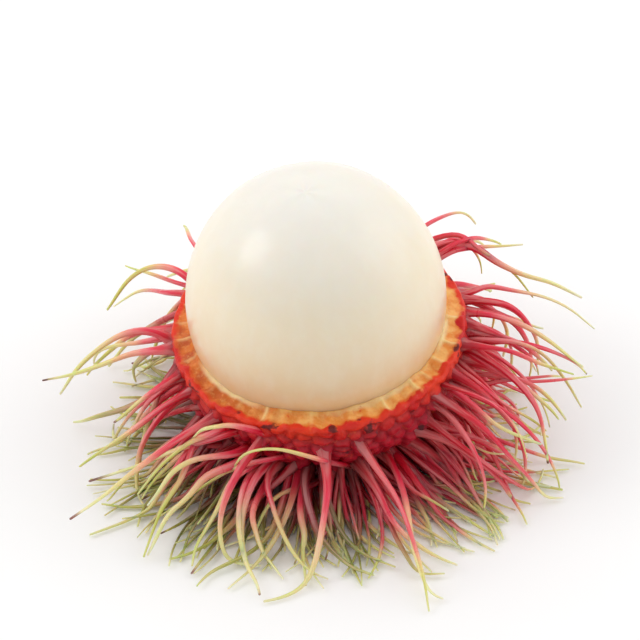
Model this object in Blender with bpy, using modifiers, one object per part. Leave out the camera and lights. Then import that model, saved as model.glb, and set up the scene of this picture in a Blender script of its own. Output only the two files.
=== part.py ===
"""A half-peeled rambutan: the lower half of the rind, with its soft hairs, holding the pale flesh ball.

Metres, +Z up. The origin is the centre of the small flat spot that the fruit rests on.
The fruit's own axis leans towards -Y, so that the open side faces forwards and up.
"""

import math
import random

import bmesh
import bpy
from mathutils import Matrix, Vector

MM = 0.001

# The flesh ball: an ellipsoid, longer along the fruit's axis.
FLESH_RADIUS = 15.9 * MM
FLESH_HALF_LENGTH = 17.6 * MM
FLESH_TOP_TAPER = 0.02
FLESH_SEGMENTS = 40
FLESH_RINGS = 20

# The rind: a cup that follows the flesh ball, torn off a little below the ball's middle.
FIT_GAP = 0.3 * MM
WALL_AT_SIDE = 2.4 * MM
WALL_AT_BASE = 2.9 * MM
RIM_BELOW_MIDDLE = 3.8 * MM
RIM_INNER_RISE = 0.5 * MM
RIM_OUTER_DROP = 0.9 * MM
RIM_CROWN = ((0.8 * MM, 0.5 * MM), (1.7 * MM, 0.1 * MM))
RIM_WAVE = 0.45 * MM
RIM_SCALLOP = 0.3 * MM
RIM_DEPTH = 3.5 * MM
LUMP_HEIGHT = 0.25 * MM
LUMPS_ROUND = 15
LUMPS_DOWN = 1.7
POLE_KEPT = 0.5 * MM
RIND_STEPS = 48
INNER_RINGS = 6
OUTER_RINGS = 9

# How the fruit lies: its axis leans forwards and a little to the left, on a small flat spot.
LEAN_FORWARD = math.radians(6.0)
LEAN_LEFT = math.radians(4.0)
SPOT_SAG = 0.35 * MM

# The hairs: each one is a tapered, curved spine with a broad foot. Curl and droop are in radians per metre.
HAIR_COUNT = 204
HAIR_SEED = 11
HAIR_LENGTH = (12.5 * MM, 18.5 * MM)
HAIR_THICKNESS = (0.52 * MM, 0.66 * MM)
HAIR_TAPER = 0.52
HAIR_FOOT_FLARE = 0.55 * MM
HAIR_FOOT_REACH = 0.07
HAIR_FOOT_DEPTH = 1.3 * MM
HAIR_CURL = (10.0, 95.0)
HAIR_DROOP = (45.0, 110.0)
HAIR_SPREAD = 0.2
HAIR_LIFT = 0.06
HAIR_JITTER = 0.12
HAIR_SHIFT = 0.4 * MM
HAIR_STEPS = 24
HAIR_STRIDE = 4
GOLDEN_ANGLE = math.pi * (3 - math.sqrt(5))

# Where the hairs grow: none right at the rim or under the base, few just below the rim in front.
HAIR_TOP_CLEARANCE = 1.5 * MM
HAIR_LOWEST_ROOT = 2.0 * MM
BARE_DEPTH = 9.5 * MM
BARE_FRONT = 0.6
BARE_KEPT_EVERY = 4

# How they lie: longest in front and combed away from a parting there, clear of the surface, skin and flesh.
FRONT_LENGTH_GAIN = 0.52
PARTING_STRENGTH = 0.6
PARTING_AT = 2.0 * MM
PARTING_WIDTH = 6.0 * MM
FLOOR_CLEARANCE = 0.15 * MM
SKIN_CLEARANCE = 0.25 * MM
SKIN_CLEAR_FROM = 0.12
FLESH_CLEARANCE = 1.0 * MM
FLESH_BARED_ABOVE = -2.0 * MM

INNER_RADIUS = FLESH_RADIUS + FIT_GAP
INNER_HALF_LENGTH = FLESH_HALF_LENGTH + FIT_GAP
OUTER_RADIUS = INNER_RADIUS + WALL_AT_SIDE
OUTER_HALF_LENGTH = INNER_HALF_LENGTH + WALL_AT_BASE


def clear_scene():
    for obj in list(bpy.data.objects):
        bpy.data.objects.remove(obj)


def make_material(name, colour, roughness):
    material = bpy.data.materials.new(name)
    material.use_nodes = True
    shader = material.node_tree.nodes["Principled BSDF"]
    shader.inputs["Base Color"].default_value = (*colour, 1.0)
    shader.inputs["Roughness"].default_value = roughness
    shader.inputs["Metallic"].default_value = 0.0
    return material


def fruit_placement():
    """The matrix from the fruit's own frame (origin at the flesh ball's middle, +Z out of the open side)."""
    turn = Matrix.Rotation(-LEAN_LEFT, 3, "Y") @ Matrix.Rotation(LEAN_FORWARD, 3, "X")
    down = turn.transposed() @ Vector((0, 0, -1))
    squares = Vector((OUTER_RADIUS**2, OUTER_RADIUS**2, OUTER_HALF_LENGTH**2))
    reach = math.sqrt(sum(squares[i] * down[i] ** 2 for i in range(3)))
    lowest = turn @ Vector([squares[i] * down[i] / reach for i in range(3)])
    place = Vector((-lowest.x, -lowest.y, reach - SPOT_SAG))
    return Matrix.Translation(place) @ turn.to_4x4()


def new_object(name, mesh, collection, material=None):
    obj = bpy.data.objects.new(name, mesh)
    if material:
        mesh.materials.append(material)
    collection.objects.link(obj)
    return obj


def applied_mesh(obj, weld=False):
    """The object's mesh with its modifiers applied. A curve's caps are loose until they are welded."""
    graph = bpy.context.evaluated_depsgraph_get()
    mesh = bpy.data.meshes.new_from_object(obj.evaluated_get(graph))
    if not weld:
        return mesh
    work = bmesh.new()
    work.from_mesh(mesh)
    bmesh.ops.remove_doubles(work, verts=work.verts, dist=0.001 * MM)
    work.to_mesh(mesh)
    work.free()
    return mesh


def shade(mesh, sharp_angle=50):
    mesh.shade_smooth()
    mesh.set_sharp_from_angle(angle=math.radians(sharp_angle))


# ---------------------------------------------------------------- flesh


def make_flesh(collection, placement, material):
    """The ball: a primitive sphere stretched along the axis, a little fuller below its middle."""
    bpy.ops.mesh.primitive_uv_sphere_add(segments=FLESH_SEGMENTS, ring_count=FLESH_RINGS, radius=1.0)
    ball = bpy.context.active_object
    mesh = ball.data.copy()
    bpy.data.objects.remove(ball)
    for vertex in mesh.vertices:
        x, y, z = vertex.co
        taper = 1 - FLESH_TOP_TAPER * max(z, 0.0) ** 2
        vertex.co = (x * FLESH_RADIUS * taper, y * FLESH_RADIUS * taper, z * FLESH_HALF_LENGTH)
    flesh = new_object("flesh", mesh, collection, material)
    flesh.matrix_world = placement
    shade(mesh)
    return flesh


# ---------------------------------------------------------------- rind


def ellipse_radius(radius, half_length, height):
    return radius * math.sqrt(max(0.0, 1 - (height / half_length) ** 2))


def wall_points(radius, half_length, top, count):
    """Points from the base pole up to the height `top`, evenly spaced by angle."""
    start, end = -math.pi / 2, math.asin(top / half_length)
    angles = [start + (end - start) * i / count for i in range(count + 1)]
    return [(radius * math.cos(a), half_length * math.sin(a)) for a in angles]


def rind_profile():
    """Up the inner wall, across the torn rim and down the outer side."""
    rim = -RIM_BELOW_MIDDLE
    inner = wall_points(INNER_RADIUS, INNER_HALF_LENGTH, rim + RIM_INNER_RISE, INNER_RINGS)
    outer = wall_points(OUTER_RADIUS, OUTER_HALF_LENGTH, rim - RIM_OUTER_DROP, OUTER_RINGS)
    crown = [(inner[-1][0] + out, rim + rise) for out, rise in RIM_CROWN]
    return inner + crown + outer[::-1]


def rim_wave(turn):
    """How far the torn rim stands above or below its mean height, from -1 to 1."""
    return 0.55 * math.cos(2 * turn) + 0.25 * math.sin(7 * turn + 2.1) + 0.2 * math.sin(13 * turn)


def roughen(mesh):
    """Waves the torn rim up and down, scallops its outer edge and raises low lumps on the skin."""
    top = -RIM_BELOW_MIDDLE
    for vertex in mesh.vertices:
        x, y, z = vertex.co
        radius = math.hypot(x, y)
        if radius < POLE_KEPT:
            continue
        turn = math.atan2(y, x)
        inner_here = ellipse_radius(INNER_RADIUS, INNER_HALF_LENGTH, z)
        outwards = min(1.0, max(0.0, (radius - inner_here) / WALL_AT_SIDE))
        near_rim = max(0.0, 1 - (top + 0.6 * MM - z) / RIM_DEPTH)
        scallop = RIM_SCALLOP * (0.6 * math.sin(17 * turn + 1.0) + 0.4 * math.sin(29 * turn)) * near_rim
        lump = LUMP_HEIGHT * math.sin(LUMPS_ROUND * turn + z / MM) * math.sin(LUMPS_DOWN * z / MM)
        grown = radius + (scallop + lump * (1 - near_rim)) * outwards
        vertex.co.x *= grown / radius
        vertex.co.y *= grown / radius
        vertex.co.z += RIM_WAVE * rim_wave(turn) * near_rim


def make_cup(helpers, placement):
    """The bare rind: the profile turned about the fruit's axis, then roughened."""
    points = [(radius, 0, height) for radius, height in rind_profile()]
    edges = [(i, i + 1) for i in range(len(points) - 1)]
    profile = bpy.data.meshes.new("rind_profile")
    profile.from_pydata(points, edges, [])
    turned = new_object("rind_profile", profile, helpers)
    screw = turned.modifiers.new("turn", "SCREW")
    screw.steps = screw.render_steps = RIND_STEPS
    screw.use_merge_vertices = True
    screw.merge_threshold = 0.01 * MM
    mesh = applied_mesh(turned)
    bpy.data.objects.remove(turned)
    roughen(mesh)
    mesh.transform(placement)
    return mesh


def cut_resting_spot(cup, cutters):
    """Takes off everything below the surface that the fruit lies on."""
    bpy.ops.mesh.primitive_cube_add(size=1.0)
    block = bpy.context.active_object
    block.name = "surface_cutter"
    for collection in list(block.users_collection):
        collection.objects.unlink(block)
    cutters.objects.link(block)
    side = 80 * MM
    block.data.transform(Matrix.Diagonal((side, side, side, 1)))
    block.location = (0, 0, -side / 2)
    block.hide_render = True
    block.display_type = "WIRE"
    cut = cup.modifiers.new("flat_spot", "BOOLEAN")
    cut.operation = "DIFFERENCE"
    cut.solver = "EXACT"
    cut.object = block


# ---------------------------------------------------------------- hairs


def pushed_out(point, placement, to_fruit, radius, half_length, only_above=None):
    """The point, moved out of an ellipsoid round the fruit's middle if it is inside it."""
    local = to_fruit @ point
    if only_above is not None and local.z < only_above:
        return point
    depth = math.sqrt((local.x**2 + local.y**2) / radius**2 + local.z**2 / half_length**2)
    if depth >= 1:
        return point
    return placement @ (local / max(depth, 0.1))


def hair_radius(share, thickness):
    """Radius along a hair, from its broad foot (share 0) to its tip (share 1)."""
    foot = HAIR_FOOT_FLARE * math.exp(-share / HAIR_FOOT_REACH)
    return thickness * (1 - HAIR_TAPER * share**1.5) + foot


def hair_path(root, normal, length, curl_axis, curl, droop, thickness, placement, to_fruit):
    """Grows a hair step by step: it leaves along the normal, curls, sags, and slides along what it meets."""
    step = length / HAIR_STEPS
    points = [root]
    heading = normal.copy()
    for i in range(HAIR_STEPS):
        share = (i + 1) / HAIR_STEPS
        bend = curl * (0.25 + 2.2 * share**2) * step
        heading = Matrix.Rotation(bend, 3, curl_axis) @ heading
        heading.z -= droop * (0.3 + 1.4 * share) * step
        heading.normalize()
        point = points[-1] + heading * step
        radius = hair_radius(share, thickness)
        if share > SKIN_CLEAR_FROM:
            margin = radius + SKIN_CLEARANCE
            wide, high = OUTER_RADIUS + margin, OUTER_HALF_LENGTH + margin
            point = pushed_out(point, placement, to_fruit, wide, high)
        margin = radius + FLESH_CLEARANCE
        wide, high = FLESH_RADIUS + margin, FLESH_HALF_LENGTH + margin
        point = pushed_out(point, placement, to_fruit, wide, high, FLESH_BARED_ABOVE)
        point.z = max(point.z, radius + FLOOR_CLEARANCE)
        heading = (point - points[-1]).normalized()
        points.append(point)
    return points


def hairs(placement):
    """Every hair as (points, thickness, normal), on a golden-angle spiral with seeded variation."""
    draw = random.Random(HAIR_SEED)
    to_fruit = placement.inverted()
    turn = placement.to_3x3()
    top = -RIM_BELOW_MIDDLE - HAIR_TOP_CLEARANCE
    found = []
    for i in range(HAIR_COUNT):
        height = top - (OUTER_HALF_LENGTH + top) * (i + 0.5) / HAIR_COUNT
        around = i * GOLDEN_ANGLE + draw.uniform(-HAIR_JITTER, HAIR_JITTER)
        height += draw.uniform(-HAIR_SHIFT, HAIR_SHIFT)
        height = min(top + HAIR_SHIFT / 2, max(height, -0.995 * OUTER_HALF_LENGTH))
        radius = ellipse_radius(OUTER_RADIUS, OUTER_HALF_LENGTH, height)
        local = Vector((radius * math.cos(around), radius * math.sin(around), height))
        slope = Vector((local.x, local.y, local.z * (OUTER_RADIUS / OUTER_HALF_LENGTH) ** 2))
        root = placement @ local
        normal = (turn @ slope).normalized()
        spread = Vector([draw.gauss(0, HAIR_SPREAD) for _ in range(3)])
        length = draw.uniform(*HAIR_LENGTH)
        curl_axis = normal.cross(Vector([draw.gauss(0, 1) for _ in range(3)])).normalized()
        curl = draw.choice((-1, 1)) * draw.uniform(*HAIR_CURL)
        droop = draw.uniform(*HAIR_DROOP)
        thickness = draw.uniform(*HAIR_THICKNESS)
        front = max(0.0, -normal.y)
        bare = local.z > top - BARE_DEPTH and front > BARE_FRONT and i % BARE_KEPT_EVERY
        if bare or root.z < HAIR_LOWEST_ROOT:
            continue
        parting = PARTING_STRENGTH * math.tanh((root.x - PARTING_AT) / PARTING_WIDTH) * front
        heading = (normal + spread + Vector((parting, 0, HAIR_LIFT))).normalized()
        length *= 1 + FRONT_LENGTH_GAIN * front
        path = hair_path(root, heading, length, curl_axis, curl, droop, thickness, placement, to_fruit)
        found.append((path, thickness, normal))
    return found


def make_hair(index, hair, profile, helpers):
    """One hair as a closed three-sided spine with its foot sunk well into the rind."""
    path, thickness, normal = hair
    points = [(path[0] - normal * HAIR_FOOT_DEPTH, hair_radius(0, thickness))]
    for i in range(HAIR_STRIDE, HAIR_STEPS + 1, HAIR_STRIDE):
        points.append((path[i], hair_radius(i / HAIR_STEPS, thickness)))
    curve = bpy.data.curves.new(f"hair_{index}", "CURVE")
    curve.dimensions = "3D"
    curve.bevel_mode = "OBJECT"
    curve.bevel_object = profile
    curve.use_fill_caps = True
    spline = curve.splines.new("POLY")
    spline.points.add(len(points) - 1)
    for slot, (place, radius) in zip(spline.points, points):
        slot.co = (*place, 1.0)
        slot.radius = radius / MM
    tube = new_object(f"hair_{index}", curve, helpers)
    mesh = applied_mesh(tube, weld=True)
    bpy.data.objects.remove(tube)
    return mesh


def make_hair_profile(helpers):
    """The cross-section of a hair: a triangle 1 mm from centre to corner."""
    curve = bpy.data.curves.new("hair_profile", "CURVE")
    curve.dimensions = "2D"
    spline = curve.splines.new("POLY")
    spline.points.add(2)
    spline.use_cyclic_u = True
    for i, slot in enumerate(spline.points):
        angle = -2 * math.pi * i / 3
        slot.co = (MM * math.cos(angle), MM * math.sin(angle), 0, 1)
    profile = new_object("hair_profile", curve, helpers)
    profile.hide_render = True
    return profile


def without_scraps(mesh):
    """Keeps the body with the most faces: a sliver of space sealed between crossing hairs is filled."""
    work = bmesh.new()
    work.from_mesh(mesh)
    bmesh.ops.triangulate(work, faces=work.faces)
    groups = []
    unseen = set(work.faces)
    while unseen:
        group, front = set(), [unseen.pop()]
        while front:
            face = front.pop()
            group.add(face)
            joins = [edge for edge in face.edges if len(edge.link_faces) == 2]
            near = {other for edge in joins for other in edge.link_faces} & unseen
            unseen -= near
            front.extend(near)
        groups.append(group)
    largest = max(groups, key=len)
    loose = [face for group in groups if group is not largest for face in group]
    bmesh.ops.delete(work, geom=loose, context="FACES")
    work.to_mesh(mesh)
    work.free()


def facing_out(mesh):
    work = bmesh.new()
    work.from_mesh(mesh)
    bmesh.ops.recalc_face_normals(work, faces=work.faces)
    work.to_mesh(mesh)
    work.free()


def make_rind(collection, helpers, cutters, placement, material):
    """The cup and all its hairs, joined in one body by a Boolean union."""
    cup = new_object("rind", make_cup(helpers, placement), collection, material)
    cut_resting_spot(cup, cutters)
    profile = make_hair_profile(helpers)
    repeats = bpy.data.collections.new("hairs")
    bpy.context.scene.collection.children.link(repeats)
    for index, hair in enumerate(hairs(placement)):
        mesh = make_hair(index, hair, profile, helpers)
        facing_out(mesh)
        new_object(f"hair_{index}", mesh, repeats)
    bpy.data.objects.remove(profile)
    union = cup.modifiers.new("hairs", "BOOLEAN")
    union.operation = "UNION"
    union.operand_type = "COLLECTION"
    union.collection = repeats
    union.solver = "MANIFOLD"
    mesh = applied_mesh(cup)
    without_scraps(mesh)
    cup.modifiers.clear()
    cup.data = mesh
    for obj in list(repeats.objects):
        bpy.data.objects.remove(obj)
    for obj in list(cutters.objects):
        bpy.data.objects.remove(obj)
    shade(mesh)
    return cup


def main():
    clear_scene()
    fruit = bpy.data.collections.new("half_peeled_rambutan")
    helpers = bpy.data.collections.new("helpers")
    cutters = bpy.data.collections.new("cutters")
    for collection in (fruit, helpers, cutters):
        bpy.context.scene.collection.children.link(collection)
    placement = fruit_placement()
    flesh_material = make_material("flesh", (0.80, 0.70, 0.54), 0.35)
    rind_material = make_material("rind", (0.52, 0.02, 0.03), 0.5)
    make_flesh(fruit, placement, flesh_material)
    make_rind(fruit, helpers, cutters, placement, rind_material)


main()
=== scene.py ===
"""The looks of the half-peeled rambutan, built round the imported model.

Metres, +Z up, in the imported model's frame.
"""

import math
import random

import bpy
import numpy as np
from mathutils import Matrix, Vector


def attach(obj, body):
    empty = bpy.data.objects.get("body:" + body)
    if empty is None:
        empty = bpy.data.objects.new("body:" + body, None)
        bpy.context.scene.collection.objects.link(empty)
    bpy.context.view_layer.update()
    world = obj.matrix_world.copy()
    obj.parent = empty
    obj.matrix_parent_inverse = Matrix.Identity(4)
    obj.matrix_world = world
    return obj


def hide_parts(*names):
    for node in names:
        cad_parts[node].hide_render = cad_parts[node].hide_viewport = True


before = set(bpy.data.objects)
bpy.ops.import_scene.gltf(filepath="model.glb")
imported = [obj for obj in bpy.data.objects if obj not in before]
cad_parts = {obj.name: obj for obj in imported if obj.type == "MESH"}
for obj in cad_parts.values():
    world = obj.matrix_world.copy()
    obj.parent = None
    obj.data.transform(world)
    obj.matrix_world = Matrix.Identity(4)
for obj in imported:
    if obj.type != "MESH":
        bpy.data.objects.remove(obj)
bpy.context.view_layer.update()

MM = 0.001

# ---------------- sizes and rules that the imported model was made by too

FLESH_RADIUS = 15.9 * MM
FLESH_HALF_LENGTH = 17.6 * MM
FLESH_TOP_TAPER = 0.02
WALL_AT_SIDE = 2.4 * MM
WALL_AT_BASE = 2.9 * MM
FIT_GAP = 0.3 * MM
RIM_BELOW_MIDDLE = 3.8 * MM
OUTER_RADIUS = FLESH_RADIUS + FIT_GAP + WALL_AT_SIDE
OUTER_HALF_LENGTH = FLESH_HALF_LENGTH + FIT_GAP + WALL_AT_BASE
RIM_WAVE = 0.45 * MM
RIM_SCALLOP = 0.3 * MM
RIM_DEPTH = 3.5 * MM
RIM_STEADY_ABOVE = 0.6 * MM

# How the fruit lies: its axis leans forwards and a little to the left, on a small flat spot.
LEAN_FORWARD = math.radians(6.0)
LEAN_LEFT = math.radians(4.0)
SPOT_SAG = 0.35 * MM

# The hairs. Curl and droop are in radians per metre, and each build-up is what a hair has of them
# at its foot and what its length adds.
HAIR_COUNT = 204
HAIR_SEED = 11
HAIR_PHASE = 0.5
HAIR_LENGTH = (12.5 * MM, 18.5 * MM)
HAIR_THICKNESS = (0.52 * MM, 0.66 * MM)
HAIR_TAPER = 0.52
HAIR_FOOT_FLARE = 0.55 * MM
HAIR_FOOT_REACH = 0.07
HAIR_CURL = (10.0, 95.0)
HAIR_DROOP = (45.0, 110.0)
CURL_BUILD_UP = (0.25, 2.2)
DROOP_BUILD_UP = (0.3, 1.4)
HAIR_SPREAD = 0.2
HAIR_LIFT = 0.06
HAIR_JITTER = 0.12
HAIR_SHIFT = 0.4 * MM
HAIR_STEPS = 24
GOLDEN_ANGLE = math.pi * (3 - math.sqrt(5))

# Where the hairs grow: none right at the rim or under the base, few just below the rim in front.
HAIR_TOP_CLEARANCE = 1.5 * MM
HAIR_LOWEST_ROOT = 2.0 * MM
HAIR_DOWN_TO = 0.995
BARE_DEPTH = 9.5 * MM
BARE_FRONT = 0.6
BARE_KEPT_EVERY = 4

# How they lie: longest in front, combed away from a parting there, clear of skin, flesh and floor.
FRONT_LENGTH_GAIN = 0.52
PARTING_STRENGTH = 0.6
PARTING_AT = 2.0 * MM
PARTING_WIDTH = 6.0 * MM
FLOOR_CLEARANCE = 0.15 * MM
SKIN_CLEARANCE = 0.25 * MM
SKIN_CLEAR_FROM = 0.12
FLESH_CLEARANCE = 1.0 * MM
FLESH_BARED_ABOVE = -2.0 * MM
LEAST_DEPTH = 0.1


def fruit_placement():
    """The matrix from the fruit's own frame, whose origin is the flesh ball's middle and whose +Z
    points out of the open side."""
    turn = Matrix.Rotation(-LEAN_LEFT, 3, "Y") @ Matrix.Rotation(LEAN_FORWARD, 3, "X")
    down = turn.transposed() @ Vector((0, 0, -1))
    squares = Vector((OUTER_RADIUS**2, OUTER_RADIUS**2, OUTER_HALF_LENGTH**2))
    reach = math.sqrt(sum(squares[i] * down[i] ** 2 for i in range(3)))
    lowest = turn @ Vector([squares[i] * down[i] / reach for i in range(3)])
    place = Vector((-lowest.x, -lowest.y, reach - SPOT_SAG))
    return Matrix.Translation(place) @ turn.to_4x4()


PLACEMENT = fruit_placement()
TO_FRUIT = PLACEMENT.inverted()

# ---------------- small helpers

# The lowest that any point may be, so that nothing flickers with the floor.
LOWEST_POINT = 0.02 * MM


def linear(red, green, blue):
    """An sRGB colour, 0 to 255, as linear light."""
    channels = (red / 255, green / 255, blue / 255)
    return tuple(c / 12.92 if c <= 0.04045 else ((c + 0.055) / 1.055) ** 2.4 for c in channels)


def smoothstep(low, high, value):
    share = np.clip((value - low) / (high - low), 0, 1)
    return share * share * (3 - 2 * share)


def random_vector(draw, spread=1.0):
    return Vector([draw.gauss(0, spread) for _ in range(3)])


def mesh_object(name, vertices, faces):
    mesh = bpy.data.meshes.new(name)
    mesh.from_pydata(vertices, [], faces)
    mesh.validate()
    mesh.shade_smooth()
    obj = bpy.data.objects.new(name, mesh)
    bpy.context.scene.collection.objects.link(obj)
    return obj


def set_uv(mesh, name, per_loop):
    layer = mesh.uv_layers.new(name=name, do_init=False)
    layer.uv.foreach_set("vector", np.asarray(per_loop, np.float32).ravel())


def set_shares(mesh, name, per_vertex):
    layer = mesh.attributes.new(name, "FLOAT", "POINT")
    layer.data.foreach_set("value", np.asarray(per_vertex, np.float32))


class Nodes:
    """A node tree under construction: each method adds a node and returns its output."""

    def __init__(self, tree):
        self.nodes, self.links = tree.nodes, tree.links

    def put(self, socket, value):
        if isinstance(value, bpy.types.NodeSocket):
            self.links.new(value, socket)
        elif isinstance(value, tuple) and len(value) == 3 and socket.type == "RGBA":
            socket.default_value = (*value, 1.0)
        else:
            socket.default_value = value

    def fruit_place(self):
        """The point in the fruit's own frame."""
        node = self.nodes.new("ShaderNodeMapping")
        self.put(node.inputs["Vector"], self.nodes.new("ShaderNodeTexCoord").outputs["Object"])
        node.inputs["Location"].default_value = TO_FRUIT.translation
        node.inputs["Rotation"].default_value = TO_FRUIT.to_euler()
        return node.outputs[0]

    def share(self, name):
        """A number that set_shares stored on the mesh's points."""
        node = self.nodes.new("ShaderNodeAttribute")
        node.attribute_name = name
        return node.outputs["Fac"]

    def uv(self, name):
        node = self.nodes.new("ShaderNodeUVMap")
        node.uv_map = name
        return node.outputs["UV"]

    def parts(self, vector):
        node = self.nodes.new("ShaderNodeSeparateXYZ")
        self.put(node.inputs[0], vector)
        return node.outputs

    def join(self, x, y, z):
        node = self.nodes.new("ShaderNodeCombineXYZ")
        for socket, value in zip(node.inputs, (x, y, z)):
            self.put(socket, value)
        return node.outputs[0]

    def noise(self, vector, scale, detail, roughness=0.55):
        node = self.nodes.new("ShaderNodeTexNoise")
        self.put(node.inputs["Vector"], vector)
        node.inputs["Scale"].default_value = scale
        node.inputs["Detail"].default_value = detail
        node.inputs["Roughness"].default_value = roughness
        return node.outputs["Fac"]

    def math(self, operation, a, b):
        node = self.nodes.new("ShaderNodeMath")
        node.operation = operation
        self.put(node.inputs[0], a)
        self.put(node.inputs[1], b)
        return node.outputs[0]

    def times(self, a, b):
        return self.math("MULTIPLY", a, b)

    def around_zero(self, noise, size):
        """A noise, 0 to 1, as one that goes as far below zero as above it."""
        return self.times(self.math("SUBTRACT", noise, 0.5), size)

    def remap(self, value, low, high, to_low=0.0, to_high=1.0, smooth=True):
        node = self.nodes.new("ShaderNodeMapRange")
        node.interpolation_type = "SMOOTHSTEP" if smooth else "LINEAR"
        for socket, number in zip(node.inputs, (value, low, high, to_low, to_high)):
            self.put(socket, number)
        return node.outputs[0]

    def mix(self, share, a, b):
        node = self.nodes.new("ShaderNodeMix")
        node.data_type = "RGBA"
        self.put(node.inputs["Factor"], share)
        self.put(node.inputs[6], a)
        self.put(node.inputs[7], b)
        return node.outputs[2]

    def ramp(self, value, stops):
        """A colour run. The stops are (place, sRGB colour)."""
        node = self.nodes.new("ShaderNodeValToRGB")
        elements = node.color_ramp.elements
        while len(elements) < len(stops):
            elements.new(0.5)
        for element, (place, colour) in zip(elements, stops):
            element.position = place
            element.color = (*linear(*colour), 1.0)
        self.put(node.inputs[0], value)
        return node.outputs[0]

    def bump(self, height, distance, strength, below=None):
        node = self.nodes.new("ShaderNodeBump")
        node.inputs["Strength"].default_value = strength
        node.inputs["Distance"].default_value = distance
        self.put(node.inputs["Height"], height)
        if below is not None:
            self.put(node.inputs["Normal"], below)
        return node.outputs[0]


class Shader(Nodes):
    """A material and its nodes."""

    def __init__(self, name):
        self.material = bpy.data.materials.new(name)
        self.material.use_nodes = True
        super().__init__(self.material.node_tree)
        self.surface = self.nodes["Principled BSDF"]

    def set(self, **inputs):
        for name, value in inputs.items():
            self.put(self.surface.inputs[name.replace("_", " ")], value)


# ---------------- hairs: where they grow and how they bend


def outer_radius_at(height):
    return OUTER_RADIUS * math.sqrt(max(0.0, 1 - (height / OUTER_HALF_LENGTH) ** 2))


def skin_place(around, height):
    """The point of the skin so far round and up the fruit, and the way the skin faces there."""
    radius = outer_radius_at(height)
    local = Vector((radius * math.cos(around), radius * math.sin(around), height))
    slope = Vector((local.x, local.y, local.z * (OUTER_RADIUS / OUTER_HALF_LENGTH) ** 2))
    return PLACEMENT @ local, (PLACEMENT.to_3x3() @ slope).normalized()


def pushed_out(point, radius, half_length, only_above=None):
    """The point, moved out of an ellipsoid round the fruit's middle if it is inside it."""
    local = TO_FRUIT @ point
    if only_above is not None and local.z < only_above:
        return point
    depth = math.sqrt((local.x**2 + local.y**2) / radius**2 + local.z**2 / half_length**2)
    if depth >= 1:
        return point
    return PLACEMENT @ (local / max(depth, LEAST_DEPTH))


def hair_radius(share, thickness):
    """Radius along a hair, from its broad foot (share 0) to its tip (share 1)."""
    foot = HAIR_FOOT_FLARE * math.exp(-share / HAIR_FOOT_REACH)
    return thickness * (1 - HAIR_TAPER * share**1.5) + foot


def hair_path(root, normal, length, curl_axis, curl, droop, thickness):
    """Grows a hair step by step: it leaves along the normal, curls, sags, and slides along what
    it meets."""
    step = length / HAIR_STEPS
    points = [root]
    heading = normal.copy()
    for i in range(HAIR_STEPS):
        share = (i + 1) / HAIR_STEPS
        bend = curl * (CURL_BUILD_UP[0] + CURL_BUILD_UP[1] * share**2) * step
        heading = Matrix.Rotation(bend, 3, curl_axis) @ heading
        heading.z -= droop * (DROOP_BUILD_UP[0] + DROOP_BUILD_UP[1] * share) * step
        heading.normalize()
        point = points[-1] + heading * step
        radius = hair_radius(share, thickness)
        if share > SKIN_CLEAR_FROM:
            margin = radius + SKIN_CLEARANCE
            point = pushed_out(point, OUTER_RADIUS + margin, OUTER_HALF_LENGTH + margin)
        margin = radius + FLESH_CLEARANCE
        wide, high = FLESH_RADIUS + margin, FLESH_HALF_LENGTH + margin
        point = pushed_out(point, wide, high, FLESH_BARED_ABOVE)
        point.z = max(point.z, radius + FLOOR_CLEARANCE)
        heading = (point - points[-1]).normalized()
        points.append(point)
    return points


def hairs(seed=HAIR_SEED, phase=HAIR_PHASE, scale=1.0, kept_every=BARE_KEPT_EVERY,
          spread=HAIR_SPREAD):
    """Hairs as (points, thickness, normal), on a golden-angle spiral with seeded variation. Called
    without arguments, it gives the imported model's own."""
    draw = random.Random(seed)
    top = -RIM_BELOW_MIDDLE - HAIR_TOP_CLEARANCE
    found = []
    for i in range(HAIR_COUNT):
        height = top - (OUTER_HALF_LENGTH + top) * (i + phase) / HAIR_COUNT
        around = (i + phase - HAIR_PHASE) * GOLDEN_ANGLE + draw.uniform(-HAIR_JITTER, HAIR_JITTER)
        height += draw.uniform(-HAIR_SHIFT, HAIR_SHIFT)
        height = min(top + HAIR_SHIFT / 2, max(height, -HAIR_DOWN_TO * OUTER_HALF_LENGTH))
        root, normal = skin_place(around, height)
        astray = random_vector(draw, spread)
        length = draw.uniform(*HAIR_LENGTH)
        curl_axis = normal.cross(random_vector(draw)).normalized()
        curl = draw.choice((-1, 1)) * draw.uniform(*HAIR_CURL)
        droop = draw.uniform(*HAIR_DROOP)
        thickness = draw.uniform(*HAIR_THICKNESS)
        front = max(0.0, -normal.y)
        bare = height > top - BARE_DEPTH and front > BARE_FRONT and i % kept_every
        if bare or root.z < HAIR_LOWEST_ROOT:
            continue
        parting = PARTING_STRENGTH * math.tanh((root.x - PARTING_AT) / PARTING_WIDTH) * front
        heading = (normal + astray + Vector((parting, 0, HAIR_LIFT))).normalized()
        length *= scale * (1 + FRONT_LENGTH_GAIN * front)
        path = hair_path(root, heading, length, curl_axis, curl, droop, thickness)
        found.append((path, thickness, normal))
    return found


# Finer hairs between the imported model's own: seed, phase on the spiral, length, thickness, spread,
# share that is kept and highest root. There are fewer of them at the left.
FINER_HAIRS = (
    (29, 1.0, 0.9, 0.85, 0.3, 0.9, 40 * MM),
    (31, 0.75, 0.62, 0.8, 0.36, 0.85, 11 * MM),
    (37, 0.25, 0.7, 0.8, 0.36, 0.85, 11 * MM),
)
FINER_SEED = 23
LEFT_OF = -11 * MM
LEFT_SHARE = 0.25

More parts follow.
